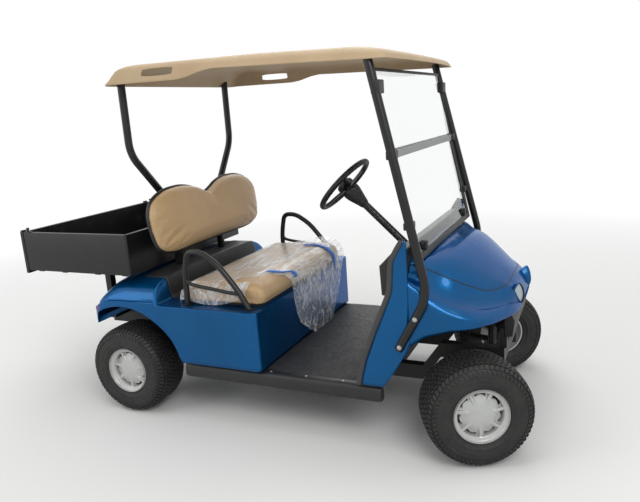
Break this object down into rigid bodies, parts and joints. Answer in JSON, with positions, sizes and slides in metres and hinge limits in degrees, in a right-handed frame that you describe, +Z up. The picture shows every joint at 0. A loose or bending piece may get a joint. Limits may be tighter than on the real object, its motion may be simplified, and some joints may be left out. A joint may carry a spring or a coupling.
{
  "type": "golf cart",
  "caption": "Two-seat electric golf cart with a canopy, folding windscreen and a rear cargo box, its front wheels turned to the left.",
  "frame": {"origin": "on the ground, in the middle of the overall length and width", "axes": "+X forward, +Y to the left of the cart, +Z up"},
  "size_m": [2.6353, 1.2998, 1.7222],
  "materials": {
    "paint_blue": "gloss",
    "tan_plastic": "satin",
    "tan_vinyl": "satin",
    "black_steel": "satin",
    "black_plastic": "matte",
    "mat_rubber": "matte",
    "tyre_rubber": "matte",
    "silver_cover": "satin",
    "clear_screen": "gloss",
    "lamp_lens": "gloss",
    "red_lens": "gloss"
  },
  "bodies": {
    "chassis": {"battery_pack": "black_plastic", "cargo_box": "black_steel", "cargo_supports": "black_steel", "cross_members": "black_steel", "dash_panel": "black_plastic", "drive_motor": "black_steel", "floor_mat": "mat_rubber", "floor_pan": "black_plastic", "frame_rails": "black_steel", "front_axle": "black_steel", "front_bumper": "black_plastic", "front_cowl": "paint_blue", "front_springs": "black_steel", "front_struts": "black_steel", "headlights": "lamp_lens", "hip_restraints": "black_steel", "pedals": "black_steel", "rear_axle": "black_steel", "rear_body": "paint_blue", "rear_springs": "black_steel", "rear_struts": "black_steel", "rockers": "black_plastic", "roof": "tan_plastic", "seat_back": "tan_vinyl", "seat_back_shell": "black_plastic", "seat_frame": "black_steel", "shocks": "black_steel", "steering_column": "black_steel", "tail_lights": "red_lens", "windscreen_lower": "clear_screen", "windscreen_strip": "black_plastic", "windscreen_upper": "clear_screen"},
    "knuckle_left": {"knuckle_left": "black_steel"},
    "knuckle_right": {"knuckle_right": "black_steel"},
    "tie_rod": {"tie_rod": "black_steel"},
    "steering_wheel": {"steering_wheel": "black_plastic"},
    "seat": {"seat_base": "black_plastic", "seat_bottom": "tan_vinyl"},
    "tailgate": {"tailgate": "black_steel"},
    "front_left_wheel": {"tyre_front_left": "tyre_rubber", "wheel_front_left": "silver_cover"},
    "front_right_wheel": {"tyre_front_right": "tyre_rubber", "wheel_front_right": "silver_cover"},
    "rear_left_wheel": {"tyre_rear_left": "tyre_rubber", "wheel_rear_left": "silver_cover"},
    "rear_right_wheel": {"tyre_rear_right": "tyre_rubber", "wheel_rear_right": "silver_cover"}
  },
  "joints": [
    {"name": "steer_right", "type": "hinge", "parent": "chassis", "child": "knuckle_right", "pos_m": [1.05226, -0.409, 0.225], "axis": [0, 0, 1], "range_deg": [-62, 8]},
    {"name": "steer_left", "type": "hinge", "parent": "chassis", "child": "knuckle_left", "pos_m": [1.05226, 0.409, 0.225], "axis": [0, 0, 1], "range_deg": [-62, 8]},
    {"name": "tie_rod_pivot", "type": "hinge", "parent": "knuckle_right", "child": "tie_rod", "pos_m": [0.9988, -0.43624, 0.185], "axis": [0, 0, 1], "range_deg": [-8, 62]},
    {"name": "steering_wheel_turn", "type": "hinge", "parent": "chassis", "child": "steering_wheel", "pos_m": [0.26726, 0.25, 1.05], "axis": [-0.7193, 0, 0.6947], "range_deg": [-558, 72]},
    {"name": "spin_front_right", "type": "hinge", "parent": "knuckle_right", "child": "front_right_wheel", "pos_m": [1.08177, -0.46692, 0.225], "axis": [-0.454, 0.891, 0], "continuous": true},
    {"name": "spin_front_left", "type": "hinge", "parent": "knuckle_left", "child": "front_left_wheel", "pos_m": [1.02276, 0.46692, 0.225], "axis": [-0.454, 0.891, 0], "continuous": true},
    {"name": "spin_rear_right", "type": "hinge", "parent": "chassis", "child": "rear_right_wheel", "pos_m": [-0.63974, -0.489, 0.225], "axis": [0, 1, 0], "continuous": true},
    {"name": "spin_rear_left", "type": "hinge", "parent": "chassis", "child": "rear_left_wheel", "pos_m": [-0.63974, 0.489, 0.225], "axis": [0, 1, 0], "continuous": true},
    {"name": "seat_lift", "type": "hinge", "parent": "chassis", "child": "seat", "pos_m": [-0.34004, 0, 0.5863], "axis": [0, -1, 0], "range_deg": [0, 70]},
    {"name": "tailgate_drop", "type": "hinge", "parent": "chassis", "child": "tailgate", "pos_m": [-1.29774, 0, 0.698], "axis": [0, -1, 0], "range_deg": [0, 90]}
  ],
  "couplings": [
    {"joint": "steer_left", "follows": "steer_right", "ratio": 1},
    {"joint": "tie_rod_pivot", "follows": "steer_right", "ratio": -1},
    {"joint": "steering_wheel_turn", "follows": "steer_right", "ratio": 9}
  ]
}
